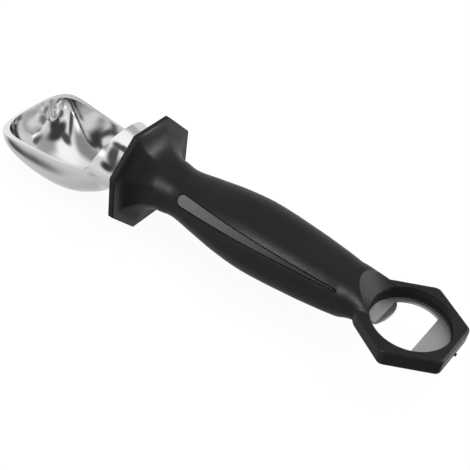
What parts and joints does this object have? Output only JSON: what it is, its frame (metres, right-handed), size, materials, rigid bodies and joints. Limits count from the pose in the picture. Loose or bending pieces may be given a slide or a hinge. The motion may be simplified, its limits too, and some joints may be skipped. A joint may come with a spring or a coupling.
{
  "type": "ice cream scoop",
  "caption": "Fixed-bowl ice cream scoop with a polished cast head, octagonal hand guard, swelling black grip and a bottle opener in its hexagonal ring end.",
  "frame": {"origin": "centre of the hole in the handle's ring, half way through the ring's thickness", "axes": "+X from the bowl towards the ring end, +Z out of the bowl's open side and along the ring's hole, +Y to the right of someone who looks from the ring towards the bowl with the bowl open upward"},
  "size_m": [0.2259, 0.0496, 0.0543],
  "materials": {
    "head": "polished",
    "handle": "satin",
    "plate": "satin",
    "inlay": "matte"
  },
  "bodies": {
    "root": {"scoop_head": "head", "handle": "handle", "opener_plate": "plate", "grip_inlay": "inlay"}
  },
  "joints": []
}
